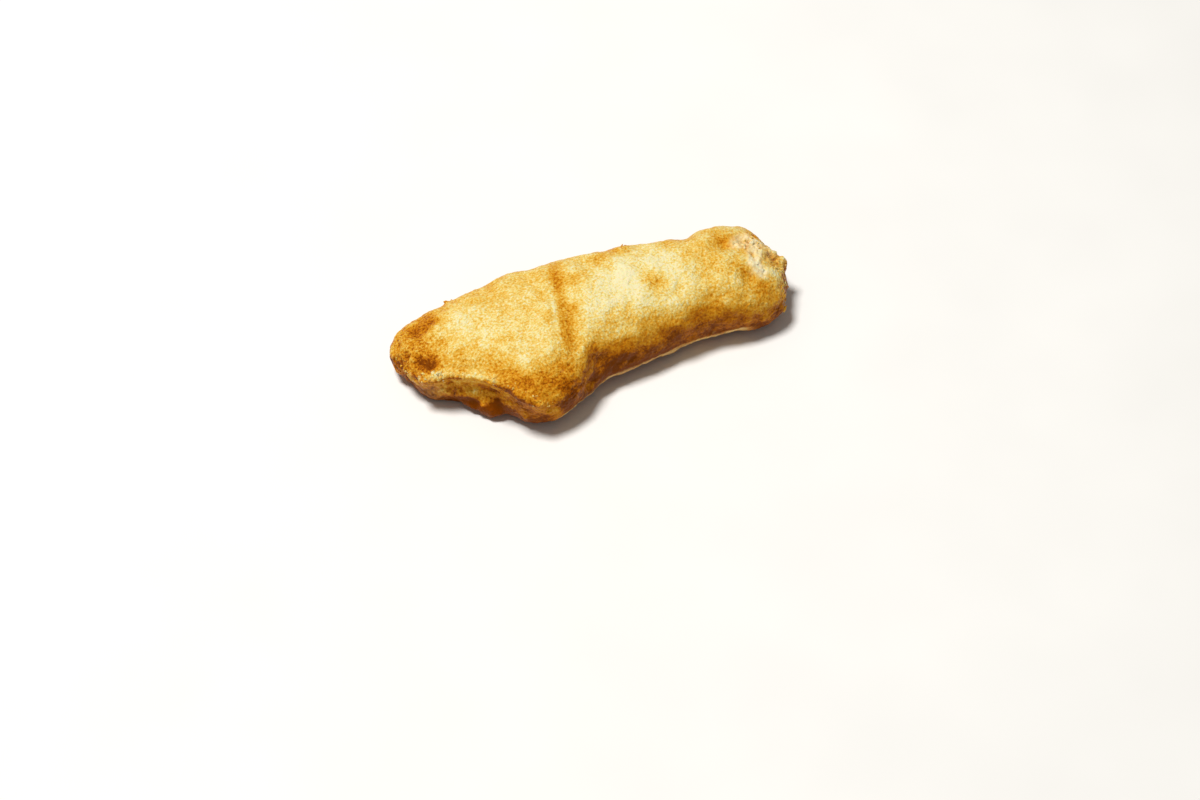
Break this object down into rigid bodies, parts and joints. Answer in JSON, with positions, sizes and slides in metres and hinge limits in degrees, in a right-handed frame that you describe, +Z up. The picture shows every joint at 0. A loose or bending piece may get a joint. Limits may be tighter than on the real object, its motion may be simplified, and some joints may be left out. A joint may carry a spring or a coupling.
{
  "type": "fried fish fillet",
  "caption": "Battered and deep-fried fish fillet: a long, flat-bottomed piece with a domed crown, a tapered end, a blunt broken end and an uneven crust.",
  "frame": {"origin": "under the middle of the fillet's outer box, on the surface it rests on", "axes": "+X along the fillet towards its blunt, broken end; +Y across it towards its straight far edge; +Z up"},
  "size_m": [0.1514, 0.0654, 0.0283],
  "materials": {
    "fried_batter": "uneven, crisp golden batter with a light sheen of oil"
  },
  "bodies": {
    "root": {"fillet": "fried_batter"}
  },
  "joints": []
}
